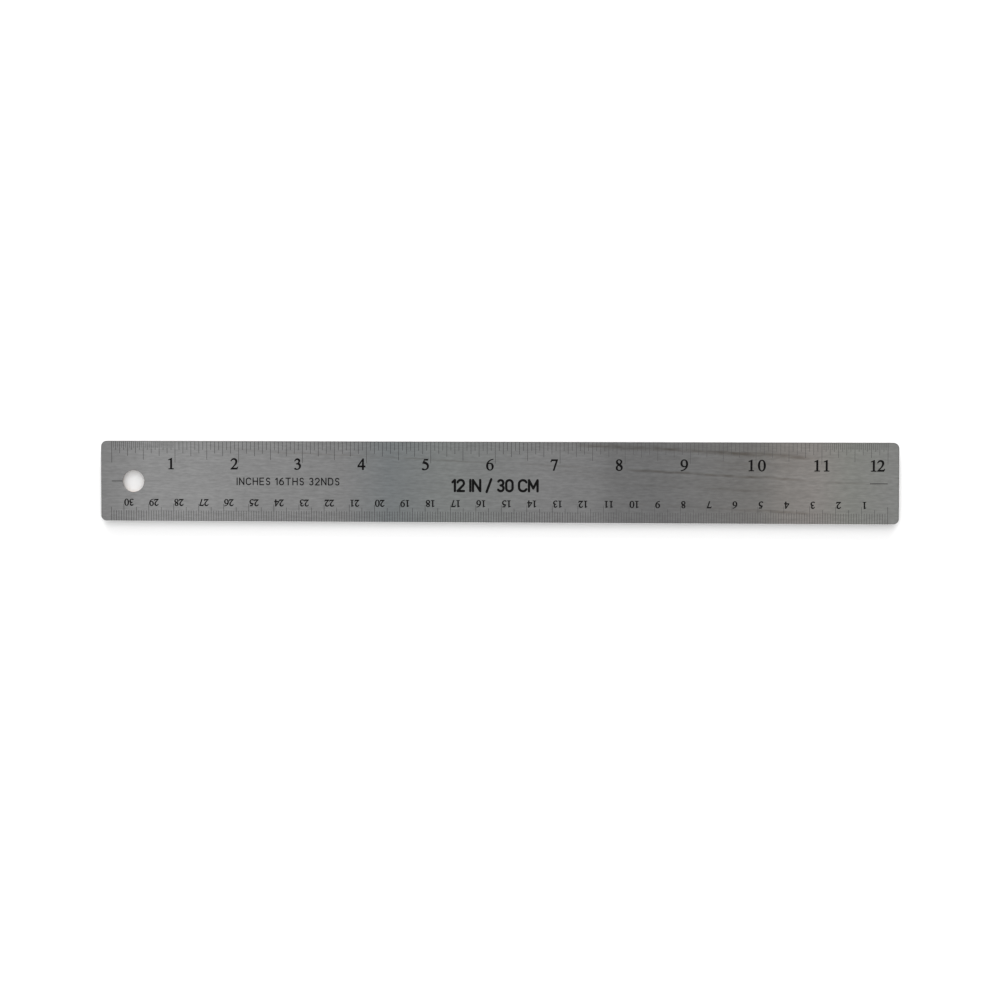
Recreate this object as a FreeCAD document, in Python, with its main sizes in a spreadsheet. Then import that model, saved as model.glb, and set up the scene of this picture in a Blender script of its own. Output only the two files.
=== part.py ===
"""Cork-backed stainless steel ruler, 12 inches along one edge and 30.5 centimetres along the other.

The blade is a thin flat bar with rounded corners, a fine chamfer all round and one hanging hole near its
left end. Every mark is etched into the blade's top face and filled level with black enamel, so each family
of marks is a set of thin enamel solids that sit in grooves of the same shape. An adhesive film bonds a
narrower strip of cork to the underside.

Frame: millimetres, +X along the blade from the hanging hole towards the 12 inch end, +Y towards the inch
edge, +Z out of the marked face. The origin is the centre of the cork's underside.
"""

import FreeCAD, Part
import Sketcher
import math
import os

from FreeCAD import Placement, Rotation, Vector

UP = Vector(0, 0, 1)
FLAT = Rotation(UP, 0)
HALF_TURN = Rotation(UP, 180)
FLAT_TOLERANCE = 1e-6

# Driving dimensions in millimetres, with what each one is.
DIMENSIONS = {
    "inch_size": (25.4, "one inch"),
    "metric_size": (1, "one millimetre"),
    "scale_inches": (12, "inches on the inch edge"),
    "fine_lines": (16, "thirty-second inch lines in the first and in the last inch"),
    "blade_margin": (4.3, "steel beyond the first and the last inch line"),
    "blade_width": (31.75, "across the two graduated edges"),
    "blade_thick": (0.8, "steel sheet"),
    "blade_corner": (2.2, "radius of the blade's four corners"),
    "edge_chamfer": (0.15, "deburred edges, outline and hole"),
    "hole_inset": (13.0, "hole centre from the left end"),
    "hole_radius": (4.3, "hanging hole in the steel"),
    "film_thick": (0.1, "adhesive film"),
    "cork_base": (0.0, "height of the cork's underside"),
    "cork_thick": (1.2, "cork strip"),
    "cork_setback": (3.0, "cork edge inside the blade edge"),
    "cork_corner": (1.5, "radius of the cork's four corners"),
    "cork_hole": (5.2, "radius of the clearance hole in cork and film"),
    "etch_depth": (0.05, "depth of every etched mark"),
    "line_width": (0.14, "width of every graduation"),
    "centre_width": (0.25, "width of the two centre lines"),
    "centre_length": (6.85, "length of the two centre lines"),
    "whole_inch": (8.5, "length of an inch line"),
    "half_inch": (7.4, "length of a half inch line"),
    "quarter_inch": (5.9, "length of a quarter inch line"),
    "eighth_inch": (4.85, "length of an eighth inch line"),
    "sixteenth_inch": (3.5, "length of a sixteenth inch line"),
    "fine_inch": (2.7, "length of a thirty-second inch line"),
    "whole_cm": (6.9, "length of a centimetre line"),
    "half_cm": (5.65, "length of a five millimetre line"),
    "single_mm": (4.25, "length of a millimetre line"),
    "inch_digit": (4.25, "height of the inch numerals as drawn"),
    "inch_weight": (3.4, "added all round their strokes, in hundredths of that height"),
    "inch_cell": (3.14, "width of one inch numeral's cell"),
    "inch_baseline": (11.05, "baseline of the inch numerals from the inch edge"),
    "inch_gap": (0.06, "from the cell of the numeral 1 to its line"),
    "inch_drift": (0.095, "added to that gap with each following inch"),
    "straddle_gap": (0.7, "from the line to each digit of 10 and of 11"),
    "twelve_pitch": (2.81, "from digit to digit in the numeral 12"),
    "cm_digit": (2.58, "height of the centimetre numerals as drawn"),
    "cm_weight": (4.6, "added all round their strokes, in hundredths of that height"),
    "cm_cell": (1.91, "width of one centimetre digit's cell"),
    "cm_baseline": (8.72, "baseline of the centimetre numerals from the metric edge"),
    "cm_gap": (0.16, "from a centimetre numeral's last cell to its line"),
    "small_letter": (2.62, "height of the graduation label's letters, between stroke centres"),
    "small_stroke": (0.44, "stroke width of the graduation label"),
    "small_spacing": (0.97, "between the graduation label's letters"),
    "small_left": (50.2, "graduation label from the inch scale's zero line"),
    "small_baseline": (17.15, "baseline of the graduation label from the inch edge"),
    "large_letter": (4.3, "height of the length label's letters, between stroke centres"),
    "large_stroke": (0.95, "stroke width of the length label"),
    "large_spacing": (1.05, "between the length label's letters"),
    "large_left": (135.6, "length label from the inch scale's zero line"),
    "large_baseline": (19.3, "baseline of the length label from the inch edge"),
}

# Sizes that follow from the driving ones, as spreadsheet formulas.
DERIVED = {
    "scale_length": "=inch_size * scale_inches",
    "last_inch": "=scale_inches - 1",
    "whole_cms": "=floor(scale_length / 10)",
    "blade_length": "=scale_length + 2 * blade_margin",
    "film_base": "=cork_thick",
    "blade_base": "=cork_thick + film_thick",
    "blade_top": "=blade_base + blade_thick",
    "etch_floor": "=blade_top - etch_depth",
    "cork_length": "=blade_length - 2 * cork_setback",
    "cork_width": "=blade_width - 2 * cork_setback",
    "cork_hole_inset": "=hole_inset - cork_setback",
}


def add_dimensions(doc):
    """The spreadsheet that drives the model."""
    sheet = doc.addObject("Spreadsheet::Sheet", "Dimensions")
    rows = [(alias, str(value), note) for alias, (value, note) in DIMENSIONS.items()]
    rows += [(alias, formula, "derived") for alias, formula in DERIVED.items()]
    for number, (alias, content, note) in enumerate(rows, start=1):
        sheet.set(f"A{number}", alias)
        sheet.set(f"B{number}", content)
        sheet.set(f"C{number}", note)
        sheet.setAlias(f"B{number}", alias)
    doc.recompute()
    return sheet


# ---------------------------------------------------------------------------
# Sketch helpers
# ---------------------------------------------------------------------------


def new_body(doc, label):
    body = doc.addObject("PartDesign::Body", label)
    body.Label = label
    return body


def base_sketch(body, name, rotation=FLAT, **offset_expressions):
    """A sketch on the body's XY plane, turned by rotation and moved by the expressions for x, y and z."""
    plane = next(f for f in body.Origin.OriginFeatures if f.Role == "XY_Plane")
    sketch = body.newObject("Sketcher::SketchObject", name)
    sketch.AttachmentSupport = (plane, [""])
    sketch.MapMode = "FlatFace"
    sketch.AttachmentOffset = Placement(Vector(), rotation)
    for axis, expression in offset_expressions.items():
        sketch.setExpression(f"AttachmentOffset.Base.{axis}", expression)
    return sketch


def constrain(sketch, *arguments, name=None, expression=None):
    """Adds a constraint and, if given, its name and the expression that drives it."""
    index = sketch.addConstraint(Sketcher.Constraint(*arguments))
    if name:
        sketch.renameConstraint(index, name)
        sketch.setExpression(f"Constraints.{name}", expression)


def add_rectangle(sketch, corner, opposite):
    """Four lines in the order bottom, right, top, left. Returns the first line's index."""
    corners = [
        Vector(corner.x, corner.y, 0),
        Vector(opposite.x, corner.y, 0),
        Vector(opposite.x, opposite.y, 0),
        Vector(corner.x, opposite.y, 0),
    ]
    first = sketch.GeometryCount
    for i, start in enumerate(corners):
        sketch.addGeometry(Part.LineSegment(start, corners[(i + 1) % 4]))
    for i in range(4):
        constrain(sketch, "Coincident", first + i, 2, first + (i + 1) % 4, 1)
    for i, direction in enumerate(("Horizontal", "Vertical", "Horizontal", "Vertical")):
        constrain(sketch, direction, first + i)
    return first


# ---------------------------------------------------------------------------
# The three layers
# ---------------------------------------------------------------------------


def layer_body(doc, label, length, width, corner, thickness, base, hole_inset, hole_radius):
    """A flat layer with rounded corners and one hole on its centreline. Every size is the sheet's entry of
    that name."""
    sheet = doc.Dimensions
    body = new_body(doc, label)
    sketch = base_sketch(body, f"{label}_outline", z=f"Dimensions.{base}")
    half = Vector(sheet.get(length) / 2, sheet.get(width) / 2, 0)
    outline = add_rectangle(sketch, -half, half)
    constrain(sketch, "Symmetric", outline, 1, outline + 1, 2, -1, 1)
    constrain(sketch, "DistanceX", outline, 1, outline, 2, sheet.get(length),
              name="length", expression=f"Dimensions.{length}")
    constrain(sketch, "DistanceY", outline + 1, 1, outline + 1, 2, sheet.get(width),
              name="width", expression=f"Dimensions.{width}")
    centre = Vector(sheet.get(hole_inset) - half.x, 0, 0)
    hole = sketch.addGeometry(Part.Circle(centre, UP, sheet.get(hole_radius)))
    constrain(sketch, "PointOnObject", hole, 3, -1)
    constrain(sketch, "DistanceX", outline, 1, hole, 3, sheet.get(hole_inset),
              name="hole_inset", expression=f"Dimensions.{hole_inset}")
    constrain(sketch, "Radius", hole, sheet.get(hole_radius),
              name="hole_radius", expression=f"Dimensions.{hole_radius}")
    pad = body.newObject("PartDesign::Pad", f"{label}_pad")
    pad.Profile = sketch
    pad.setExpression("Length", f"Dimensions.{thickness}")
    doc.recompute()

    upright = [
        f"Edge{i}" for i, edge in enumerate(pad.Shape.Edges, start=1)
        if edge.BoundBox.ZLength > FLAT_TOLERANCE
        and math.hypot(edge.CenterOfMass.x, edge.CenterOfMass.y) > half.x
    ]
    corners = body.newObject("PartDesign::Fillet", f"{label}_corners")
    corners.Base = (pad, upright)
    corners.setExpression("Radius", f"Dimensions.{corner}")
    doc.recompute()
    return body


def deburr(doc, body):
    """Breaks every edge of the layer's two flat faces, the rim of its hole included."""
    sharp = body.Tip
    rims = [
        f"Edge{i}" for i, edge in enumerate(sharp.Shape.Edges, start=1)
        if edge.BoundBox.ZLength < FLAT_TOLERANCE
    ]
    chamfer = body.newObject("PartDesign::Chamfer", f"{body.Label}_deburr")
    chamfer.Base = (sharp, rims)
    chamfer.setExpression("Size", "Dimensions.edge_chamfer")
    doc.recompute()


# ---------------------------------------------------------------------------
# Graduations
# ---------------------------------------------------------------------------

# Where each scale starts: its zero line, at its edge, with the scale running along +x of that place. The side
# is the sign of the edge's y, and the unit is an entry of the sheet.
INCH_EDGE = {
    "side": 1,
    "unit": "inch_size",
    "rotation": FLAT,
    "x": "-Dimensions.scale_length / 2",
    "y": "Dimensions.blade_width / 2",
}
METRIC_EDGE = {
    "side": -1,
    "unit": "metric_size",
    "rotation": HALF_TURN,
    "x": "Dimensions.scale_length / 2",
    "y": "-Dimensions.blade_width / 2",
}

# label, edge, first line, lines drawn (count, pitch), repeats (count, step), length. First line, pitch and
# step are in the scale's units. The pitch, the length and the first word of the count of repeats are entries
# of the sheet.
LINE_FAMILIES = [
    ("inch_lines", INCH_EDGE, 0, (1, None), ("scale_inches + 1", 1), "whole_inch"),
    ("half_inch_lines", INCH_EDGE, 1 / 2, (1, None), ("scale_inches", 1), "half_inch"),
    ("quarter_inch_lines", INCH_EDGE, 1 / 4, (1, None), ("scale_inches * 2", 1 / 2), "quarter_inch"),
    ("eighth_inch_lines", INCH_EDGE, 1 / 8, (1, None), ("scale_inches * 4", 1 / 4), "eighth_inch"),
    ("sixteenth_inch_lines", INCH_EDGE, 1 / 16, (1, None), ("scale_inches * 8", 1 / 8), "sixteenth_inch"),
    ("thirtysecond_inch_lines", INCH_EDGE, 1 / 32, (2, "last_inch"), ("fine_lines", 1 / 16), "fine_inch"),
    ("centimetre_lines", METRIC_EDGE, 0, (1, None), ("whole_cms + 1", 10), "whole_cm"),
    ("half_centimetre_lines", METRIC_EDGE, 5, (1, None), ("whole_cms + 1", 10), "half_cm"),
    ("millimetre_lines", METRIC_EDGE, 1, (4, "metric_size"), ("whole_cms * 2 + 1", 5), "single_mm"),
]


def line_family(doc, blank, label, edge, first, drawn, repeats, length):
    """One family of equal lines: a sketch of the first line or lines, padded up from the etched floor and
    patterned along the scale, then trimmed to the blade so that its ends follow the chamfered edge."""
    sheet = doc.Dimensions
    unit = f"Dimensions.{edge['unit']}"
    body = new_body(doc, f"{label}_blank")
    body.AllowCompound = True
    sketch = base_sketch(
        body, f"{label}_sketch", edge["rotation"],
        x=f"{edge['x']} + {edge['side']} * ({first} * {unit} - Dimensions.line_width / 2)",
        y=edge["y"], z="Dimensions.etch_floor",
    )
    count, pitch = drawn
    for i in range(count):
        left = i * sheet.get(pitch) * sheet.get(edge["unit"]) if i else 0
        inner_end = Vector(left, -sheet.get(length), 0)
        line = add_rectangle(sketch, inner_end, Vector(left + sheet.line_width, 0, 0))
        constrain(sketch, "PointOnObject", line + 2, 1, -1)
        constrain(sketch, "DistanceY", line + 1, 1, line + 1, 2, sheet.get(length),
                  name=f"length_{i}", expression=f"Dimensions.{length}")
        constrain(sketch, "DistanceX", line, 1, line, 2, sheet.line_width,
                  name=f"width_{i}", expression="Dimensions.line_width")
        if i == 0:
            constrain(sketch, "PointOnObject", line + 2, 2, -2)
        else:
            constrain(sketch, "DistanceX", -1, 1, line + 2, 2, left,
                      name=f"place_{i}", expression=f"{i} * Dimensions.{pitch} * {unit}")
    pad = body.newObject("PartDesign::Pad", f"{label}_pad")
    pad.Profile = sketch
    pad.setExpression("Length", "Dimensions.etch_depth")
    pattern = body.newObject("PartDesign::LinearPattern", f"{label}_pattern")
    pattern.Originals = [pad]
    pattern.Direction = (sketch, ["H_Axis"])
    times, step = repeats
    pattern.setExpression("Occurrences", f"Dimensions.{times}")
    pattern.setExpression("Length", f"(Dimensions.{times} - 1) * {step} * {unit}")
    body.Tip = pattern
    return trimmed(doc, label, blank, body)


def centre_lines(doc, blank):
    """The two short lines on the blade's centreline, one inward from each end of the scale. The left one
    runs into the hanging hole, which cuts it short."""
    lines = []
    for side, x in (("left", "-Dimensions.scale_length / 2"),
                    ("right", "Dimensions.scale_length / 2 - Dimensions.centre_length")):
        line = doc.addObject("Part::Box", f"centre_line_{side}")
        line.setExpression("Length", "Dimensions.centre_length")
        line.setExpression("Width", "Dimensions.centre_width")
        line.setExpression("Height", "Dimensions.etch_depth")
        line.setExpression("Placement.Base.x", x)
        line.setExpression("Placement.Base.y", "-Dimensions.centre_width / 2")
        line.setExpression("Placement.Base.z", "Dimensions.etch_floor")
        lines.append(line)
    pair = doc.addObject("Part::Compound", "centre_lines_blank")
    pair.Links = lines
    return trimmed(doc, "centre_lines", blank, pair)


def trimmed(doc, label, blank, marks):
    """The part of the marks that lies in the blade."""
    fill = doc.addObject("Part::Common", label)
    fill.Base = blank
    fill.Tool = marks
    fill.Label = label
    return fill


# ---------------------------------------------------------------------------
# Numerals: a book face with thick stems and thin hairlines
# ---------------------------------------------------------------------------

# Outlines in hundredths of the digit height, with the baseline at y 0. M starts an outline, L draws a line,
# C a cubic curve, and Z closes the outline. Outer outlines run clockwise and counters anticlockwise.
DIGITS = {
    "0": """
        M 37 100 C 56 100 70.4 80 70.4 49 C 70.4 18 56 -2 37 -2 C 18 -2 3.6 18 3.6 49
        C 3.6 80 18 100 37 100 Z M 37 96.2 C 24.5 96.2 17.2 77 17.2 49 C 17.2 21 24.5 1.8 37 1.8
        C 49.5 1.8 56.8 21 56.8 49 C 56.8 77 49.5 96.2 37 96.2 Z
    """,
    "1": """
        M 15 87 L 43 100 L 44.4 100 L 44.4 10 C 44.4 4 48.3 2.6 60 2.4 L 60 0 L 16 0 L 16 2.4
        C 27.5 2.6 32 4 32 10 L 32 80 C 32 86 30.4 88 26.9 88 C 24 88 20.5 86.4 15.6 84.8 Z
    """,
    "2": """
        M 4.4 0 L 4.4 2 C 22 19 49.5 46 49.5 69 C 49.5 82 42 90 31.5 90 C 21 90 13 84.5 8.2 75.5
        L 5.4 76.5 C 9 91 20 100 35 100 C 51.5 100 63.3 89 63.3 73.5 C 63.3 54 45 36 21.5 11.4
        L 54 11.4 C 61.5 11.4 64 13.3 67.8 20.6 L 70.3 19.8 L 63 0 Z
    """,
    "3": """
        M 7.4 77.6 C 12 91 20.5 100 33.5 100 C 46.5 100 56.5 92 56.5 79.5
        C 56.5 70 51 62.5 43 58 C 56.5 54 63.8 44.5 63.8 31.5 C 63.8 11.5 48 -2 24 -2
        C 12.5 -2 6.2 1 6.2 6 C 6.2 9.3 8.6 11.4 12 11.4 C 17.5 11.4 20.5 3.4 29 3.4
        C 42 3.4 51.5 13.5 51.5 27 C 51.5 41.5 41 49.3 22.5 49.3 L 22.5 52.4
        C 37 54.5 44.8 62.5 44.8 74 C 44.8 84 38.5 89.7 29.5 89.7 C 21.5 89.7 15.5 85.5 10 76.4
        Z
    """,
    "4": """
        M 43.5 0 L 43.5 24.7 L 1.8 24.7 L 1.8 33.5 L 47.5 100 L 55.5 100 L 55.5 34.5 L 69.8 34.5
        L 69.8 24.7 L 55.5 24.7 L 55.5 0 Z M 43.5 34.5 L 43.5 82.5 L 10 34.5 Z
    """,
    "5": """
        M 61.2 99.8 L 56.5 88.6 L 26.5 88.6 L 21.4 75.6 C 47.5 70.5 64.8 57 64.8 34.5
        C 64.8 13.5 48 -2 22 -2 C 11.5 -2 4.8 1 4.8 6 C 4.8 9.2 7.2 11.3 10.8 11.3
        C 17 11.3 19.5 3.6 28.5 3.6 C 41.5 3.6 52.5 14.5 52.5 29.5 C 52.5 48.5 34 59 10.5 60.5
        L 26 97.8 L 56 97.8 C 58.6 97.8 59.8 98.4 61.2 99.8 Z
    """,
    "6": """
        M 66.5 101 L 66.9 98.2 C 45 95 28 82 21.5 58.5 C 28.5 62.5 34 64.2 40.5 64.2
        C 58 64.2 69.2 52 69.2 33.5 C 69.2 12.5 56.5 -2 37.5 -2 C 17.5 -2 5 14 5 38.5
        C 5 70 29 97.5 66.5 101 Z M 18.3 38 C 18.3 15.5 26 2.2 39.5 2.2
        C 50 2.2 56.3 12 56.3 29.5 C 56.3 48 48.5 59.3 34.8 59.3 C 30 59.3 25.5 58 20.1 54.2
        C 18.9 50.5 18.3 46 18.3 38 Z
    """,
    "7": """
        M 66.4 98 L 66.4 95 L 35.2 -1.2 L 25.5 -1.2 L 53.8 87.3 L 20 87.3
        C 12.5 87.3 9.8 85 5.8 76.8 L 3 77.8 L 11.5 98 Z
    """,
    "8": """
        M 36.5 100 C 51.5 100 62 91.5 62 79.5 C 62 70.5 56 63.5 43.5 57
        C 59.5 47.5 65.8 38.5 65.8 26.8 C 65.8 9.5 54 -2 36.5 -2 C 19.5 -2 8.3 8 8.3 22.5
        C 8.3 34 15 41.8 29 49.3 C 14.8 58.5 9.8 66.5 9.8 77.3 C 9.8 90.5 21 100 36.5 100 Z
        M 36 96.2 C 26.8 96.2 20.5 90.5 20.5 82 C 20.5 73.2 26.5 67 40.2 59.3
        C 48 65.5 51.3 71.5 51.3 79.5 C 51.3 90 45.5 96.2 36 96.2 Z M 32 47.2
        C 23.3 41 19.3 34 19.3 24.8 C 19.3 11.5 26.8 1.9 37.6 1.9 C 47.8 1.9 54.3 8.8 54.3 18.8
        C 54.3 29.5 48.3 37 32 47.2 Z
    """,
}
DIGIT_MIDDLE = Vector(37, 49.5, 0)
MITRE_LIMIT = 0.5  # the sharpest corners move at most twice as far as the strokes grow


def closed_outlines(drawing):
    """The closed outlines of a drawing, each as a list of segments. A segment is its control points, and
    starts where the one before it ends."""
    outlines = []
    tokens = drawing.split()
    position = 0
    while position < len(tokens):
        command = tokens[position]
        count = {"M": 1, "L": 1, "C": 3, "Z": 0}[command]
        numbers = [float(t) for t in tokens[position + 1:position + 1 + 2 * count]]
        position += 1 + 2 * count
        ahead = [Vector(x, y, 0) for x, y in zip(numbers[::2], numbers[1::2])]
        if command == "M":
            start = here = ahead[0]
            outlines.append([])
        elif command == "Z":
            if not here.isEqual(start, FLAT_TOLERANCE):
                outlines[-1].append([here, start])
        else:
            outlines[-1].append([here, *ahead])
            here = ahead[-1]
    return outlines


def bolder(outline, growth):
    """A closed outline with every control point moved growth to the left of the way it is drawn. That is
    outwards for the outer outlines, drawn clockwise, and inwards for the counters."""
    ring = [point for segment in outline for point in segment[:-1]]
    moved = []
    for i, here in enumerate(ring):
        before = UP.cross(here - ring[i - 1]).normalize()
        after = UP.cross(ring[(i + 1) % len(ring)] - here).normalize()
        across = (before + after).normalize()
        moved.append(here + across * (growth / max(across.dot(after), MITRE_LIMIT)))
    segments = []
    first = 0
    for segment in outline:
        last = first + len(segment) - 1
        segments.append([moved[i % len(moved)] for i in range(first, last + 1)])
        first = last
    return segments


def outline_wire(segments):
    """A closed wire of straight lines and cubic curves."""
    edges = []
    for poles in segments:
        curve = Part.BezierCurve()
        curve.setPoles(poles)
        edges.append(curve.toShape() if len(poles) > 2 else Part.makeLine(*poles))
    return Part.Wire(edges)


def digit_face(digit, weight):
    """A digit as a flat face, 100 high, with strokes 2 * weight thicker than drawn. A nine is a six turned
    half round."""
    if digit == "9":
        face = digit_face("6", weight)
        face.rotate(DIGIT_MIDDLE, UP, 180)
        return face
    wires = [outline_wire(bolder(outline, weight)) for outline in closed_outlines(DIGITS[digit])]
    return Part.makeFace(wires, "Part::FaceMakerBullseye")


def etched(face, height, x, y, sheet):
    """The enamel in one etched shape: a face drawn 100 high, made height high, moved to x, y of its scale
    and given the etched depth."""
    solid = face.scaled(height / 100).extrude(Vector(0, 0, sheet.etch_depth))
    solid.translate(Vector(x, y, 0))
    return solid


def scale_place(edge, sheet):
    """The place of a scale's zero line at its edge, on the etched floor."""
    side = edge["side"]
    base = Vector(-side * sheet.scale_length / 2, side * sheet.blade_width / 2, sheet.etch_floor)
    return Placement(base, edge["rotation"])


def number_solids(text, end, cell, height, weight, baseline, sheet):
    """The digits of a number in a row of equal cells. The last cell ends at end along the scale."""
    start = end - cell * len(text)
    return [
        etched(digit_face(digit, weight), height, start + i * cell, -baseline, sheet)
        for i, digit in enumerate(text)
    ]


def straddling_solids(text, line, gap, height, weight, baseline, sheet):
    """A two-digit number with one digit on each side of its line."""
    before, after = (digit_face(digit, weight) for digit in text)
    before_x = line - gap - before.BoundBox.XMax * height / 100
    after_x = line + gap - after.BoundBox.XMin * height / 100
    return [
        etched(before, height, before_x, -baseline, sheet),
        etched(after, height, after_x, -baseline, sheet),
    ]


def inch_numerals(sheet):
    """1 to 12. Each number stands just before its line, except that 10 and 11 straddle theirs, and the gap
    grows along the scale."""
    size = (sheet.inch_digit, sheet.inch_weight, sheet.inch_baseline, sheet)
    solids = []
    for inch in range(1, sheet.scale_inches + 1):
        line = inch * sheet.inch_size
        if inch in (10, 11):
            solids += straddling_solids(str(inch), line, sheet.straddle_gap, *size)
        else:
            end = line - sheet.inch_gap - sheet.inch_drift * (inch - 1)
            tens, ones = str(inch)[:-1], str(inch)[-1]
            solids += number_solids(ones, end, sheet.inch_cell, *size)
            solids += number_solids(tens, end - sheet.twelve_pitch, sheet.inch_cell, *size)
    return Part.makeCompound(solids)


def centimetre_numerals(sheet):
    """1 to 30, each standing just before its line, upside down to the inch numerals."""
    size = (sheet.cm_digit, sheet.cm_weight, sheet.cm_baseline, sheet)
    solids = []
    for centimetre in range(1, int(sheet.whole_cms) + 1):
        solids += number_solids(str(centimetre), centimetre * 10 - sheet.cm_gap, sheet.cm_cell, *size)
    return Part.makeCompound(solids)


# ---------------------------------------------------------------------------
# Labels: single-stroke engineering letters with round ends
# ---------------------------------------------------------------------------

# Centrelines in hundredths of the letter height. M starts a stroke, L draws a line, and A draws an arc
# through a middle point to an end point. The number is the letter's width.
STROKES = {
    "0": (58, "M 0 29 L 0 71 A 29 100 58 71 L 58 29 A 29 0 0 29"),
    "1": (22, "M 0 80 L 22 100 L 22 0"),
    "2": (58, "M 1 78.5 A 37 99 52.8 54.4 L 0 0 L 58 0"),
    "3": (54, "M 7.2 88 A 48.8 88 28 52 A 50.5 13 5.5 13"),
    "6": (60, "M 48 100 A 12.4 71.8 0 30 A 30 60 60 30 A 30 0 0 30"),
    "C": (67, "M 67 82 A 36 100 0 64 L 0 36 A 36 0 67 18"),
    "D": (66, "M 0 0 L 0 100 L 28 100 A 54.9 88.9 66 62 L 66 38 A 54.9 11.1 28 0 L 0 0"),
    "E": (56, "M 56 0 L 0 0 L 0 100 L 56 100 M 0 52 L 50 52"),
    "H": (66, "M 0 0 L 0 100 M 66 0 L 66 100 M 0 52 L 66 52"),
    "I": (0, "M 0 0 L 0 100"),
    "M": (78, "M 0 0 L 0 100 L 39 26 L 78 100 L 78 0"),
    "N": (66, "M 0 0 L 0 100 L 66 0 L 66 100"),
    "S": (58, "M 53.7 85.6 A 9.9 88.4 31 50 A 52.1 11.6 8.3 14.4"),
    "T": (68, "M 0 100 L 68 100 M 34 100 L 34 0"),
    "/": (42, "M 0 -8 L 42 108"),
}
WORD_GAP = 1.4  # extra space after a word, in letter spacings


def stroke_face(points, width):
    """A round-ended band along the straight line or circular arc through two or three points."""
    start, end = points[0], points[-1]
    if len(points) == 3:
        curve = Part.Arc(*points)
    else:
        curve = Part.LineSegment(start, end)
    first, last = curve.FirstParameter, curve.LastParameter
    samples = [curve.value(first), curve.value((first + last) / 2), curve.value(last)]
    tangents = [Vector(*curve.tangent(p)[0]).normalize() for p in (first, (first + last) / 2, last)]
    if samples[0].distanceToPoint(start) > samples[2].distanceToPoint(start):
        samples.reverse()
        tangents = [-t for t in reversed(tangents)]
    reach = width / 2
    sideways = [UP.cross(t) * reach for t in tangents]
    left = [p + n for p, n in zip(samples, sideways)]
    right = [p - n for p, n in zip(samples, sideways)]
    edges = [
        Part.Arc(*left) if len(points) == 3 else Part.LineSegment(left[0], left[2]),
        Part.Arc(left[2], samples[2] + tangents[2] * reach, right[2]),
        Part.Arc(*reversed(right)) if len(points) == 3 else Part.LineSegment(right[2], right[0]),
        Part.Arc(right[0], samples[0] - tangents[0] * reach, left[0]),
    ]
    return Part.Face(Part.Wire([edge.toShape() for edge in edges]))


def letter_face(strokes, width):
    """A letter as one flat face, 100 high, with strokes of the given width."""
    bands = []
    tokens = strokes.split()
    position = 0
    while position < len(tokens):
        command = tokens[position]
        count = {"M": 1, "L": 1, "A": 2}[command]
        numbers = [float(t) for t in tokens[position + 1:position + 1 + 2 * count]]
        position += 1 + 2 * count
        ahead = [Vector(x, y, 0) for x, y in zip(numbers[::2], numbers[1::2])]
        if command != "M":
            bands.append(stroke_face([here, *ahead], width))
        here = ahead[-1]
    if len(bands) == 1:
        return bands[0]
    return bands[0].multiFuse(bands[1:]).removeSplitter()


def label_solids(sheet, text, size):
    """A line of letters, placed from the inch scale's zero line and from the inch edge. Its sizes are the
    sheet's entries that start with size."""
    height, stroke, spacing, left, baseline = (
        sheet.get(f"{size}_{part}") for part in ("letter", "stroke", "spacing", "left", "baseline")
    )
    x = left
    solids = []
    for word in text.split():
        for letter in word:
            advance, strokes = STROKES[letter]
            face = letter_face(strokes, stroke / height * 100)
            solids.append(etched(face, height, x, -baseline, sheet))
            x += advance * height / 100 + spacing
        x += spacing * WORD_GAP
    return Part.makeCompound(solids)


# ---------------------------------------------------------------------------
# Assembly
# ---------------------------------------------------------------------------


def add_feature(doc, label, shape, place):
    feature = doc.addObject("Part::Feature", label)
    feature.Shape = shape
    feature.Placement = place
    feature.Label = label
    return feature


def etched_blade(doc, blank, marks):
    """The blade with a groove for every mark."""
    tool = doc.addObject("Part::Compound", "all_marks")
    tool.Links = marks
    blade = doc.addObject("Part::Cut", "steel_blade")
    blade.Base = blank
    blade.Tool = tool
    blade.Refine = False
    blade.Label = "steel_blade"
    return blade


def check(doc, pieces):
    """Stops at the first failed object or unsound piece, and prints each piece's size."""
    for item in doc.Objects:
        if {"Invalid", "Error"} & set(item.State):
            raise RuntimeError(f"{item.Label} failed: {item.State}")
    for piece in pieces:
        shape = piece.Shape
        if shape.isNull() or not shape.isValid() or not shape.Solids:
            raise RuntimeError(f"{piece.Label} has no sound solid")
        box = shape.BoundBox
        print(f"{piece.Label:26s} solids {len(shape.Solids):4d} faces {len(shape.Faces):5d} "
              f"volume {shape.Volume:10.3f} size {box.XLength:.2f} {box.YLength:.2f} {box.ZLength:.3f}")


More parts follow.
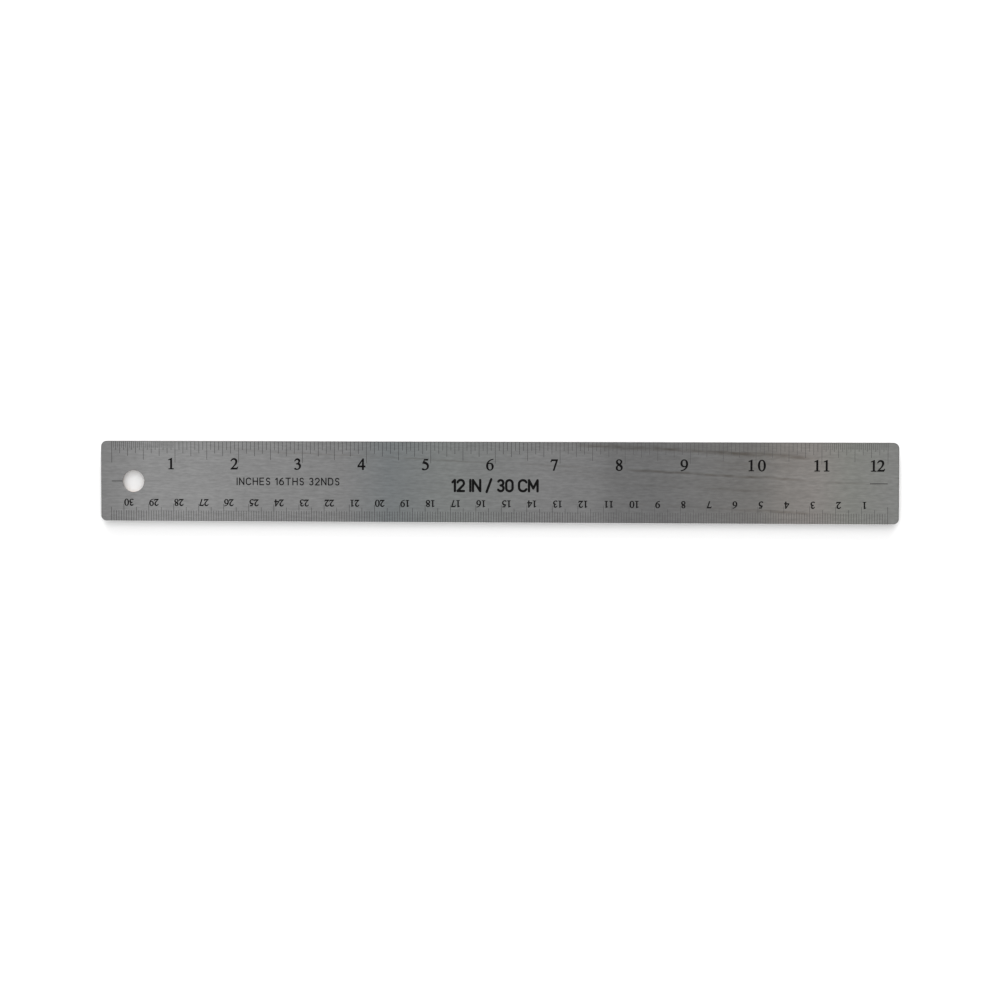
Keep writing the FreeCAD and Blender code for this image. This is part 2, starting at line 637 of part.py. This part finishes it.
def main():
    doc = FreeCAD.newDocument("Ruler")
    sheet = add_dimensions(doc)
    blank = layer_body(doc, "blade_blank", "blade_length", "blade_width", "blade_corner", "blade_thick",
                       "blade_base", "hole_inset", "hole_radius")
    deburr(doc, blank)
    film = layer_body(doc, "adhesive_film", "cork_length", "cork_width", "cork_corner", "film_thick",
                      "film_base", "cork_hole_inset", "cork_hole")
    cork = layer_body(doc, "cork_backing", "cork_length", "cork_width", "cork_corner", "cork_thick",
                      "cork_base", "cork_hole_inset", "cork_hole")

    inch_place, metric_place = scale_place(INCH_EDGE, sheet), scale_place(METRIC_EDGE, sheet)
    marks = [line_family(doc, blank, *family) for family in LINE_FAMILIES]
    marks.append(centre_lines(doc, blank))
    marks.append(add_feature(doc, "inch_numerals", inch_numerals(sheet), inch_place))
    marks.append(add_feature(doc, "centimetre_numerals", centimetre_numerals(sheet), metric_place))
    for label, text, size in (("graduation_label", "INCHES 16THS 32NDS", "small"),
                              ("length_label", "12 IN / 30 CM", "large")):
        marks.append(add_feature(doc, label, label_solids(sheet, text, size), inch_place))
    doc.recompute()
    blade = etched_blade(doc, blank, marks)
    doc.recompute()

    pieces = [blade, film, cork, *marks]
    check(doc, pieces)
    os.makedirs("parts", exist_ok=True)
    for piece in pieces:
        piece.Shape.exportStep(f"parts/{piece.Label}.step")


main()
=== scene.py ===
"""The looks of a cork-backed stainless steel ruler: brushed steel, black enamel marks, film and cork.

Everything is in metres, in the ruler's own frame: +X from the hanging hole to the 12 inch end, +Y to the
inch edge, +Z out of the marked face. The cork's underside lies on the floor at z 0.
"""

import math

import bmesh
import bpy
from mathutils import Matrix, Vector, noise
from mathutils.geometry import delaunay_2d_cdt


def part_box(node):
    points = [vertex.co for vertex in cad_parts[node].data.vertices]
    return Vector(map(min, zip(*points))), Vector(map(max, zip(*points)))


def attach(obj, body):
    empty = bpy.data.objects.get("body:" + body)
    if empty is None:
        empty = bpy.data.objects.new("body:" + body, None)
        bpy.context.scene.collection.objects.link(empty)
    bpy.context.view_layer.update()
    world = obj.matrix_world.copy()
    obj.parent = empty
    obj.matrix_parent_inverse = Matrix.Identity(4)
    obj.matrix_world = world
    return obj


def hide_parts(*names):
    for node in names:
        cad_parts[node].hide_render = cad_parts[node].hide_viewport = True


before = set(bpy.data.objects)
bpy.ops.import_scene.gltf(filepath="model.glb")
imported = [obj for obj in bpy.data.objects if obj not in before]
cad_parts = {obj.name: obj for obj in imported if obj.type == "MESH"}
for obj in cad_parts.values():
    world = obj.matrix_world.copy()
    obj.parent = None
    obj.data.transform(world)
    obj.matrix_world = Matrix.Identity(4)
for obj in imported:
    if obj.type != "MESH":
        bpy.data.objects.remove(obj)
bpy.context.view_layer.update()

MM = 0.001


# ---------------------------------------------------------------------------
# Shader helpers
# ---------------------------------------------------------------------------


class Shader:
    """A material under construction: one Principled shader and the nodes that feed it."""

    def __init__(self, name, **sockets):
        self.material = bpy.data.materials.new(name)
        self.material.use_nodes = True
        self.tree = self.material.node_tree
        self.surface = next(n for n in self.tree.nodes if n.type == "BSDF_PRINCIPLED")
        for socket, value in sockets.items():
            self.surface.inputs[socket.replace("_", " ")].default_value = value

    def node(self, kind, *values, settings=None, **inputs):
        """A node of that kind. Values feed its first inputs, and named inputs the others."""
        made = self.tree.nodes.new(kind)
        for key, value in (settings or {}).items():
            setattr(made, key, value)
        for socket, value in zip(made.inputs, values):
            self.feed(socket, value)
        for key, value in inputs.items():
            self.feed(made.inputs[key.replace("_", " ")], value)
        return made

    def feed(self, socket, value):
        """Links a socket to another, or sets it."""
        if isinstance(value, bpy.types.NodeSocket):
            self.tree.links.new(value, socket)
        else:
            socket.default_value = value

    def point(self):
        """The point being shaded, in metres."""
        return self.node("ShaderNodeTexCoord").outputs["Object"]

    def place(self, scale, shift=(0, 0, 0), turn=0.0):
        """The point being shaded, turned about +Z by degrees, then scaled and shifted."""
        rotation = (0, 0, math.radians(turn))
        return self.node("ShaderNodeMapping", self.point(), shift, rotation, scale).outputs[0]

    def axes(self):
        """The point's x, y and z."""
        return self.node("ShaderNodeSeparateXYZ", self.point()).outputs

    def spread(self, value, low, high, to_low=0.0, to_high=1.0):
        """Takes low..high in a straight line to to_low..to_high, and goes on beyond."""
        return self.node(
            "ShaderNodeMapRange", value, low, high, to_low, to_high, settings={"clamp": False}
        ).outputs[0]

    def fade(self, colour, share, tint=(1.0, 1.0, 1.0)):
        """A colour made darker by a share, times the tint's own factor in red, green and blue."""
        kept = [self.math("SUBTRACT", 1.0, self.math("MULTIPLY", share, factor)) for factor in tint]
        return self.mix("MULTIPLY", 1.0, colour, self.node("ShaderNodeCombineColor", *kept).outputs[0])

    def noise(self, vector, detail=2.0, roughness=0.5):
        """Cloudy noise from 0 to 1, mostly near 0.5."""
        return self.node(
            "ShaderNodeTexNoise", Vector=vector, Scale=1.0, Detail=detail, Roughness=roughness
        ).outputs["Fac"]

    def cells(self, vector, feature="F1"):
        """A node that divides space into irregular cells."""
        return self.node("ShaderNodeTexVoronoi", settings={"feature": feature}, Vector=vector, Scale=1.0)

    def math(self, operation, a, b=0.0):
        """The result of a Math node's operation on one or two numbers."""
        return self.node("ShaderNodeMath", a, b, settings={"operation": operation}).outputs[0]

    def add(self, a, b):
        """The sum of two vectors."""
        return self.node("ShaderNodeVectorMath", a, b, settings={"operation": "ADD"}).outputs[0]

    def remap(self, value, low, high, to_low=0.0, to_high=1.0):
        """Takes low..high smoothly to to_low..to_high, and holds the ends beyond."""
        return self.node(
            "ShaderNodeMapRange", value, low, high, to_low, to_high,
            settings={"interpolation_type": "SMOOTHSTEP", "clamp": True},
        ).outputs[0]

    def ramp(self, value, stops, interpolation="LINEAR"):
        """A colour ramp with (position, grey or colour) stops."""
        made = self.node("ShaderNodeValToRGB", value)
        made.color_ramp.interpolation = interpolation
        elements = made.color_ramp.elements
        while len(elements) < len(stops):
            elements.new(0.5)
        for element, (position, colour) in zip(elements, stops):
            element.position = position
            element.color = rgba(colour)
        return made.outputs["Color"]

    def mix(self, blend, factor, a, b):
        """Mixes two colours."""
        made = self.node("ShaderNodeMix", settings={"data_type": "RGBA", "blend_type": blend})
        for socket, value in zip((made.inputs[0], made.inputs[6], made.inputs[7]), (factor, a, b)):
            self.feed(socket, value)
        return made.outputs[2]

    def darken(self, colour, value, low, high, darkest):
        """Colour times darkest where value is low or under, and unchanged where it is high or over."""
        return self.mix("MULTIPLY", 1.0, colour, self.ramp(value, [(low, darkest), (high, 1.0)]))

    def colour(self, value):
        """Sets or links the surface's base colour."""
        self.feed(self.surface.inputs["Base Color"], value)

    def roughness(self, value):
        """Sets or links the surface's roughness."""
        self.feed(self.surface.inputs["Roughness"], value)

    def bump(self, height, distance, strength):
        """Raises the surface by height times distance, in metres."""
        made = self.node("ShaderNodeBump", Height=height, Distance=distance, Strength=strength)
        self.feed(self.surface.inputs["Normal"], made.outputs[0])


def rgba(colour):
    """A grey or a colour as a node socket takes it."""
    return (*colour, 1) if isinstance(colour, tuple) else (colour, colour, colour, 1)


def along_blade(shader, stops):
    """A grey or a colour that changes along the blade. Stops are (millimetres from the middle, value)."""
    low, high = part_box("steel_blade")
    share = shader.spread(shader.axes()[0], low.x, high.x)
    return shader.ramp(share, [((at * MM - low.x) / (high.x - low.x), value) for at, value in stops])


# ---------------------------------------------------------------------------
# Steel
# ---------------------------------------------------------------------------

# Painted reflection: the steel's tone along the blade, lighter or darker where it reflects the studio;
# millimetres from the middle, then a grey or a colour.
PAINTED_REFLECTION_TONES = [
    (-156, 0.291),
    (-138, 0.36),
    (-117, 0.36),
    (-100, 0.336),
    (-60, 0.296),
    (-42, (0.242, 0.258, 0.263)),
    (-20, (0.268, 0.279, 0.274)),
    (18, 0.275),
    (38, 0.264),
    (46, 0.218),
    (62, 0.208),
    (74, (0.225, 0.224, 0.222)),
    (96, (0.232, 0.227, 0.22)),
    (104, (0.248, 0.242, 0.232)),
    (112, (0.294, 0.279, 0.264)),
    (125, (0.324, 0.306, 0.29)),
    (138, (0.299, 0.303, 0.282)),
    (156, (0.292, 0.294, 0.286)),
]

# Painted reflection streaks: soft bands of reflected light and shade on the steel, in millimetres from the
# middle: start x and y, end x and y, half width, and how much they darken. A light streak darkens by less
# than nothing.
PAINTED_REFLECTION_STREAKS = [
    (-121, 14.7, -88, 11.5, 0.55, 0.09),
    (-97, 12.0, -33, 9.4, 0.55, 0.13),
    (-45, 9.9, 3, 7.3, 0.60, 0.15),
    (26, 15.0, 76, 12.7, 1.30, 0.22),
    (58, 13.5, 105, 11.1, 1.00, 0.16),
    (82, 12.4, 130, 9.4, 1.20, 0.21),
    (10, 15.5, 125, 11.5, 4.50, 0.07),
    (45, 12.2, 100, 9.8, 1.20, -0.10),
    (5, 7.6, 150, -0.4, 0.75, 0.11),
    (46, 5.4, 122, 1.2, 0.95, 0.21),
    (28, 6.5, 135, 0.4, 2.60, -0.07),
    (20, 5.0, 112, -1.5, 4.00, 0.04),
    (80, 8.6, 122, 6.4, 0.90, 0.08),
    (80, 6.2, 110, 4.8, 0.80, 0.09),
    (40, -0.4, 92, -2.6, 0.90, 0.06),
    (76, -1.7, 112, -3.5, 0.80, 0.12),
    (40, -7.6, 142, -12.4, 0.70, 0.08),
    (88, -9.8, 129, -12.2, 0.80, 0.19),
    (-121, 1.3, -102, -0.1, 0.60, 0.08),
    (-36, -3.1, -14, -5.1, 0.70, 0.09),
]
STREAK_FADE = 14  # millimetres over which a streak fades in and out
STREAK_TINT = (0.93, 1.02, 1.12)  # how much of a streak shows in red, green and blue
STREAK_WANDER = 0.8 * MM  # how far a streak strays from its straight line
STREAK_PATCHES = (0.5, 1.4)  # the least and the most of its depth along a streak

# The brushing: noise scales along, across and through the blade.
GRAIN_TILT = 2.5  # degrees that it leans from the blade's length
HAIRLINES = (160, 2600, 2600)
BROAD_LINES = (40, 500, 500)
HAIRLINE_SHARE = 0.7
FLECKS = (400, 1300, 1300)
NOISE_SPAN = (0.3, 0.7)  # where a noise starts and stops showing
DARKEST_BRUSHING = 0.76  # what the brushing and the flecks leave of the tone where they are darkest
DARKEST_FLECK = 0.84
STEEL_ROUGHNESS = (0.38, 0.5)
BRUSHING_HEIGHT = 0.004 * MM

RIM_CORNER = 2.2 * MM  # radius of the blade's corners
RIM_WIDTH = 0.5 * MM
RIM_SHADE_DEPTH = 0.12  # how much the painted shade in the rim darkens
CUT_WIDTH = 0.15 * MM
CUT_BLUR = 0.01 * MM
# The cut edge's grey, at a share of the blade's width from the metric edge: a painted highlight on that edge
# and painted shade on the others. Only that edge is bright.
CUT_EDGE_HIGHLIGHT_AND_SHADE = [(0.01, 0.75), (0.05, 0.05)]


def brushed_steel():
    """Stainless steel brushed along its length, with painted reflection in its tone along the blade and in
    soft streaks, painted shade in a rim inside the outline, and a painted highlight on the metric edge.
    """
    steel = Shader("brushed_stainless", Metallic=1.0, Anisotropic=0.55, Anisotropic_Rotation=0.25)
    across = steel.node("ShaderNodeTangent", settings={"direction_type": "RADIAL", "axis": "X"})
    steel.feed(steel.surface.inputs["Tangent"], across.outputs[0])

    hairlines = steel.noise(steel.place(HAIRLINES, turn=GRAIN_TILT), detail=3, roughness=0.7)
    broad = steel.noise(steel.place(BROAD_LINES, shift=(3, 1, 2), turn=GRAIN_TILT))
    brushing = steel.math(
        "ADD",
        steel.math("MULTIPLY", hairlines, HAIRLINE_SHARE),
        steel.math("MULTIPLY", broad, 1 - HAIRLINE_SHARE),
    )
    flecks = steel.noise(steel.place(FLECKS, shift=(1, 4, 6), turn=GRAIN_TILT), detail=2)

    x, y, _ = steel.axes()
    # Painted reflection: the steel's tone along the blade.
    colour = along_blade(steel, PAINTED_REFLECTION_TONES)
    colour = steel.darken(colour, brushing, *NOISE_SPAN, DARKEST_BRUSHING)
    colour = steel.darken(colour, flecks, *NOISE_SPAN, DARKEST_FLECK)
    # Painted reflection streaks: bands of reflected light and shade.
    colour = steel.fade(colour, all_reflection_streaks(steel, x, y), STREAK_TINT)
    # Painted shade in a rim inside the outline, and a painted highlight on the metric edge's cut.
    steel.colour(edge_shade_and_highlight(steel, colour, x, y))
    steel.roughness(steel.remap(brushing, *NOISE_SPAN, *STEEL_ROUGHNESS))
    steel.bump(brushing, BRUSHING_HEIGHT, 0.6)
    return steel.material


def all_reflection_streaks(steel, x, y):
    """How much all the painted reflection streaks together darken the point: they wander a little and are
    patchy.
    """
    wander = steel.noise(steel.place((35, 6, 6), shift=(5, 5, 5)), detail=3, roughness=0.6)
    wandering = steel.math("ADD", y, steel.spread(wander, 0.0, 1.0, -STREAK_WANDER, STREAK_WANDER))
    total = 0.0
    for streak in PAINTED_REFLECTION_STREAKS:
        total = steel.math("ADD", total, reflection_streak_share(steel, x, wandering, *streak))
    patches = steel.noise(steel.place((220, 1100, 1100), shift=(2, 8, 4), turn=GRAIN_TILT), detail=1)
    return steel.math("MULTIPLY", total, steel.remap(patches, *NOISE_SPAN, *STREAK_PATCHES))


def reflection_streak_share(steel, x, y, start_x, start_y, end_x, end_y, half_width, depth):
    """How much one straight soft painted reflection streak, a row of the streak table, darkens the point."""
    line = steel.spread(x, start_x * MM, end_x * MM, start_y * MM, end_y * MM)
    off = steel.math("ABSOLUTE", steel.math("SUBTRACT", y, line))
    middle = steel.remap(off, 0.0, half_width * MM, depth, 0.0)
    begun = steel.remap(x, start_x * MM, (start_x + STREAK_FADE) * MM)
    ended = steel.remap(x, (end_x - STREAK_FADE) * MM, end_x * MM, 1.0, 0.0)
    return steel.math("MULTIPLY", middle, steel.math("MULTIPLY", begun, ended))


def edge_shade_and_highlight(steel, colour, x, y):
    """The colour with painted shade in a rim inside the blade's outline, and the cut edge's own grey on the
    outline: a painted highlight on the metric edge and painted shade on the other edges.
    """
    low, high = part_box("steel_blade")
    out = reach(steel, x, y, low, high)
    flat_end = RIM_CORNER - CUT_WIDTH
    # Painted shade: darker in a band just inside the outline.
    colour = steel.fade(colour, steel.remap(out, flat_end - RIM_WIDTH, flat_end, 0.0, RIM_SHADE_DEPTH))
    # Painted highlight on the metric edge's cut, painted shade on the other cut edges.
    edge = steel.ramp(steel.spread(y, low.y, high.y), CUT_EDGE_HIGHLIGHT_AND_SHADE)
    cut = steel.remap(out, flat_end - CUT_BLUR, flat_end + CUT_BLUR)
    return steel.mix("MIX", cut, colour, edge)


def reach(steel, x, y, low, high):
    """How far out the point lies in the blade's rounded outline. The outline itself is at RIM_CORNER."""
    inner = (high - low).to_2d() / 2 - Vector((RIM_CORNER, RIM_CORNER))
    past = [
        steel.math("SUBTRACT", steel.math("ABSOLUTE", axis), limit) for axis, limit in zip((x, y), inner)
    ]
    beyond = [steel.math("POWER", steel.math("MAXIMUM", distance, 0.0), 2.0) for distance in past]
    corner = steel.math("SQRT", steel.math("ADD", *beyond))
    side = steel.math("MINIMUM", steel.math("MAXIMUM", *past), 0.0)
    return steel.math("ADD", corner, side)


# ---------------------------------------------------------------------------
# Enamel and film
# ---------------------------------------------------------------------------

# How far the enamel of the lines turns to grey, greyer towards the 12 inch end, at millimetres from the
# middle of the blade.
LINE_GREYING = [(-156, 0.0), (20, 0.1), (50, 0.5), (108, 0.55), (125, 0.35), (156, 0.35)]
FADED_LINE_GREY = 0.13
THIN_LINE_GREYING = 0.4  # the least greying of the thirty-second inch lines
ENAMEL_GREYS = [(0.3, 0.002), (0.7, 0.006)]


def black_enamel(name, greying=None):
    """Matt black marking enamel with a faint grain, turned towards grey along the blade as far as the stops
    of greying say.
    """
    enamel = Shader(name, IOR=1.45, Specular_IOR_Level=0.05)
    grain = enamel.noise(enamel.place((3000, 3000, 3000)))
    patches = enamel.noise(enamel.place((180, 180, 180)))
    colour = enamel.ramp(grain, ENAMEL_GREYS)
    colour = enamel.darken(colour, patches, 0.35, 0.6, 0.7)
    if greying:
        colour = enamel.mix("MIX", along_blade(enamel, greying), colour, rgba(FADED_LINE_GREY))
    enamel.colour(colour)
    enamel.roughness(enamel.remap(patches, 0.35, 0.65, 0.5, 0.7))
    enamel.bump(grain, 0.006 * MM, 0.5)
    return enamel.material


DARK_AMBER = (0.42, 0.31, 0.17)
LIGHT_AMBER = (0.62, 0.5, 0.33)


def dried_adhesive():
    """Dried amber adhesive, a little cloudy."""
    film = Shader("dried_adhesive", IOR=1.48)
    cloud = film.noise(film.place((400, 400, 400)), detail=3)
    film.colour(film.ramp(cloud, [(0.3, DARK_AMBER), (0.7, LIGHT_AMBER)]))
    film.roughness(film.remap(cloud, 0.3, 0.7, 0.3, 0.55))
    film.bump(cloud, 0.02 * MM, 0.5)
    return film.material


# ---------------------------------------------------------------------------
# Cork
# ---------------------------------------------------------------------------

CORK_BROWNS = [
    (0.0, (0.19, 0.095, 0.042)),
    (0.25, (0.34, 0.19, 0.09)),
    (0.6, (0.46, 0.28, 0.14)),
    (0.85, (0.56, 0.36, 0.19)),
    (1.0, (0.66, 0.46, 0.27)),
]
CORK_SEAM = (0.17, 0.085, 0.035)
CORK_SPECK = (0.06, 0.028, 0.013)


def pressed_cork():
    """Pressed cork: irregular granules in warm browns, with dark specks and darker lines between them."""
    made = Shader("pressed_cork")
    warp = made.noise(made.place((350, 350, 350)))
    push = made.node("ShaderNodeCombineXYZ", warp, warp, warp).outputs[0]
    point = made.add(made.place((620, 620, 620)), push)
    shade = made.node("ShaderNodeSeparateColor", made.cells(point).outputs["Color"]).outputs[0]
    mottle = made.noise(made.place((2600, 2600, 2600)), detail=3, roughness=0.6)
    colour = made.darken(made.ramp(shade, CORK_BROWNS), mottle, 0.3, 0.65, 0.68)
    edge = made.cells(point, "DISTANCE_TO_EDGE").outputs["Distance"]
    seams = made.remap(edge, 0.0, 0.09, 0.8, 0.0)
    colour = made.mix("MIX", made.math("MULTIPLY", seams, 0.6), colour, rgba(CORK_SEAM))
    specks = made.remap(made.noise(made.place((1300, 1300, 1300), shift=(7, 3, 1)), detail=1), 0.66, 0.74)
    made.colour(made.mix("MIX", specks, colour, rgba(CORK_SPECK)))
    made.roughness(made.remap(mottle, 0.3, 0.7, 0.75, 0.92))
    made.bump(made.math("SUBTRACT", made.math("MULTIPLY", mottle, 0.5), seams), 0.08 * MM, 0.7)
    return made.material


GRANULE = 1.7 * MM
CORK_GRID = 0.55 * MM
CORK_SEED = 5  # makes the jitter the same in every run
GRID_JITTER = 0.4 * CORK_GRID
RIM_MARGIN = 0.6 * CORK_GRID  # what the inner points keep clear of the outline and the hole
CUT_LEVELS = 4
SEAM_DEPTH = 0.05 * MM
SEAM_WIDTH = 0.22  # of a granule
PORE_DEPTH = 0.2 * MM
PORE_WIDTH = 0.42  # of a granule
PORE_THRESHOLD = 0.18  # the noise above which a granule has an open pore
ROUGH_DEPTH = 0.03 * MM
ROUGH_SIZE = 0.3 * MM


def sunk(point):
    """How far the cork's surface is sunk at a point: a shallow seam round every granule, open pores in some
    granules, and a fine roughness."""
    distances, centres = noise.voronoi(point / GRANULE)
    seam = max(0.0, 1 - (distances[1] - distances[0]) / SEAM_WIDTH)
    open_pore = noise.noise(centres[0] * 7.3) > PORE_THRESHOLD
    pore = max(0.0, 1 - distances[0] / PORE_WIDTH) if open_pore else 0.0
    rough = 0.5 + 0.5 * noise.noise(point / ROUGH_SIZE)
    return SEAM_DEPTH * seam + PORE_DEPTH * pore * pore * (3 - 2 * pore) + ROUGH_DEPTH * rough


def rounded_rectangle(low, high, radius):
    """Points round a rectangle with rounded corners, anticlockwise, about one grid step apart."""
    corners = [
        (Vector((high.x - radius, low.y + radius)), -90),
        (Vector((high.x - radius, high.y - radius)), 0),
        (Vector((low.x + radius, high.y - radius)), 90),
        (Vector((low.x + radius, low.y + radius)), 180),
    ]
    steps = round(radius * math.pi / 2 / CORK_GRID)
    points = []
    for i, (centre, start) in enumerate(corners):
        for k in range(steps + 1):
            points.append(centre + radius * heading(start + 90 * k / steps))
        following, turn = corners[(i + 1) % 4]
        target = following + radius * heading(turn)
        here = points[-1]
        count = round((target - here).length / CORK_GRID)
        points += [here.lerp(target, k / count) for k in range(1, count)]
    return points


def circle(centre, radius):
    """Points round a circle, clockwise, about one grid step apart."""
    count = round(2 * math.pi * radius / CORK_GRID)
    return [centre + radius * heading(-360 * k / count) for k in range(count)]


def heading(degrees):
    """The unit vector at that angle from +X."""
    angle = math.radians(degrees)
    return Vector((math.cos(angle), math.sin(angle)))


def scattered(low, high, keep):
    """Jittered grid points between two corners, where keep says so."""
    noise.seed_set(CORK_SEED)
    points = []
    for i in range(round((high.x - low.x) / CORK_GRID)):
        for j in range(round((high.y - low.y) / CORK_GRID)):
            point = Vector((low.x + (i + 0.5) * CORK_GRID, low.y + (j + 0.5) * CORK_GRID))
            jitter = noise.noise_vector(Vector((i, j, 0.5)) * 0.73) * GRID_JITTER
            point += jitter.to_2d()
            if keep(point):
                points.append(point)
    return points


def hole_of(node):
    """Centre and radius of the hole near a flat layer's left end, and the radius of the layer's corners,
    read from the layer's own vertices."""
    low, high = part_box(node)
    points = [Vector(p) for p in {v.co.to_2d().to_tuple(7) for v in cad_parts[node].data.vertices}]
    rim = [p for p in points if low.x + MM < p.x < high.x - MM and low.y + MM < p.y < high.y - MM]
    centre = sum(rim, Vector((0, 0))) / len(rim)
    straight_end = max(p.x for p in points if abs(p.y - high.y) < 0.01 * MM)
    return centre, max((p - centre).length for p in rim), high.x - straight_end


def cork_strip():
    """The cork backing with a granular underside and granular cut edges, all inside the CAD strip."""
    low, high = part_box("cork_backing")
    hole_centre, hole_radius, corner = hole_of("cork_backing")
    loops = [rounded_rectangle(low, high, corner), circle(hole_centre, hole_radius)]
    core = (high - low).to_2d() / 2 - Vector((corner, corner))

    def well_inside(point):
        """Whether the point keeps clear of the strip's outline and of its hole."""
        past = Vector((max(abs(point.x) - core.x, 0), max(abs(point.y) - core.y, 0)))
        off_hole = (point - hole_centre).length > hole_radius + RIM_MARGIN
        return past.length < corner - RIM_MARGIN and off_hole

    mesh = bmesh.new()

    def face(z, inner, facing_up):
        """A flat face between the loops at height z, through the inner points. Returns its vertices."""
        flat = [point for loop in loops for point in loop] + inner
        vertices = [mesh.verts.new((*point, z)) for point in flat]
        for triangle in delaunay_2d_cdt(flat, [], [], 0, 1e-7)[2]:
            middle = sum((flat[i] for i in triangle), Vector((0, 0))) / 3
            if (middle - hole_centre).length > hole_radius:
                mesh.faces.new([vertices[i] for i in (triangle if facing_up else reversed(triangle))])
        return vertices

    bottom = face(low.z, scattered(low, high, well_inside), facing_up=False)
    top = face(high.z, [], facing_up=True)
    for vertex in bottom:
        vertex.co.z += sunk(vertex.co)

    start = 0
    for loop in loops:
        ring = range(start, start + len(loop))
        start += len(loop)
        rows = [[bottom[i] for i in ring]]
        for level in range(1, CUT_LEVELS):
            z = low.z + (high.z - low.z) * level / CUT_LEVELS
            rows.append([cut_vertex(mesh, loop, k, z) for k in range(len(loop))])
        rows.append([top[i] for i in ring])
        for lower, upper in zip(rows, rows[1:]):
            for k in range(len(loop)):
                after = (k + 1) % len(loop)
                mesh.faces.new((lower[k], lower[after], upper[after], upper[k]))
    return finished(mesh, "cork_granules", pressed_cork())


def cut_vertex(mesh, loop, k, z):
    """A vertex of a cut edge, sunk into the cork from the loop's line."""
    point = loop[k]
    along = (loop[(k + 1) % len(loop)] - loop[k - 1]).normalized()
    inward = Vector((-along.y, along.x))
    sunk_in = point + inward * sunk(Vector((*point, z)))
    return mesh.verts.new((*sunk_in, z))


def finished(mesh, name, material):
    """Turns a bmesh into an object that rides on the ruler's one body."""
    data = bpy.data.meshes.new(name)
    mesh.to_mesh(data)
    mesh.free()
    data.materials.append(material)
    made = bpy.data.objects.new(name, data)
    bpy.context.scene.collection.objects.link(made)
    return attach(made, "root")


# ---------------------------------------------------------------------------
# Dressing the frame
# ---------------------------------------------------------------------------


def dress():
    """Gives every CAD node its material, and puts the granular cork in place of the plain strip."""
    materials = {"steel_blade": brushed_steel(), "adhesive_film": dried_adhesive()}
    enamel = black_enamel("black_enamel")
    # Lines that turn greyer towards the 12 inch end.
    greyed = black_enamel("greyed_enamel", LINE_GREYING)
    thin_greying = [(at, max(greying, THIN_LINE_GREYING)) for at, greying in LINE_GREYING]
    materials["thirtysecond_inch_lines"] = black_enamel("thin_enamel", thin_greying)
    for name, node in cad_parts.items():
        plain = greyed if name.endswith("_lines") and name != "centre_lines" else enamel
        node.data.materials.clear()
        node.data.materials.append(materials.get(name, plain))
    strip = cork_strip()
    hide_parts("cork_backing")


# ---------------------------------------------------------------------------
# Floor, light and camera
# ---------------------------------------------------------------------------

FLOOR_SIZE = 6.0
SURROUND = 0.94  # strength of the white surround

# Camera: focal length, then where it stands in its own view's axes and how that view is turned from the
# ruler's, in degrees.
CAMERA_LENS = 85
CAMERA_OFFSET = Vector((1.87, -6.90, 924.96)) * MM
CAMERA_TURN = {"Z": -0.25, "Y": -4.14, "X": 2.37}


def plain_floor():
    """A wide pale floor under the ruler."""
    half = FLOOR_SIZE / 2
    data = bpy.data.meshes.new("floor")
    corners = [(-half, -half, 0), (half, -half, 0), (half, half, 0), (-half, half, 0)]
    data.from_pydata(corners, [], [(0, 1, 2, 3)])
    white = Shader("plain_floor", Base_Color=(0.9, 0.9, 0.9, 1), Roughness=0.9)
    data.materials.append(white.material)
    floor = bpy.data.objects.new("floor", data)
    bpy.context.scene.collection.objects.link(floor)


def area_light(name, place, size, power, mirrored=True):
    """A soft rectangular light turned to the ruler. Unless it is mirrored, no gloss shows it."""
    light = bpy.data.lights.new(name, "AREA")
    light.shape = "RECTANGLE"
    light.size, light.size_y = size
    light.energy = power
    made = bpy.data.objects.new(name, light)
    made.location = place
    made.visible_glossy = mirrored
    made.rotation_euler = (-Vector(place)).to_track_quat("-Z", "Y").to_euler()
    bpy.context.scene.collection.objects.link(made)


def studio():
    """A white surround, a low window that casts the shadow along the metric edge, and a soft panel."""
    world = bpy.data.worlds.new("studio")
    world.use_nodes = True
    background = next(n for n in world.node_tree.nodes if n.type == "BACKGROUND")
    background.inputs["Color"].default_value = (1, 1, 1, 1)
    background.inputs["Strength"].default_value = SURROUND
    bpy.context.scene.world = world
    bpy.context.scene.view_settings.view_transform = "Standard"
    # Mirrored, the low window would whiten the steel in a view from the front.
    area_light("low_window", (0.0, 1.75, 0.4), size=(2.0, 0.4), power=56, mirrored=False)
    area_light("soft_panel", (0.0, 1.4, 0.8), size=(2.0, 1.15), power=14)


def camera():
    """The camera, high above the marked face and almost square to it."""
    data = bpy.data.cameras.new("camera")
    data.lens = CAMERA_LENS
    data.clip_start, data.clip_end = 0.01, 20
    made = bpy.data.objects.new("camera", data)
    turn = Matrix.Identity(3)
    for axis, degrees in CAMERA_TURN.items():
        turn = turn @ Matrix.Rotation(math.radians(degrees), 3, axis)
    view = turn.transposed()
    place = view @ CAMERA_OFFSET + Vector((0, 0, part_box("steel_blade")[1].z))
    made.matrix_world = Matrix.Translation(place) @ view.to_4x4()
    bpy.context.scene.collection.objects.link(made)
    bpy.context.scene.camera = made


dress()
plain_floor()
studio()
camera()
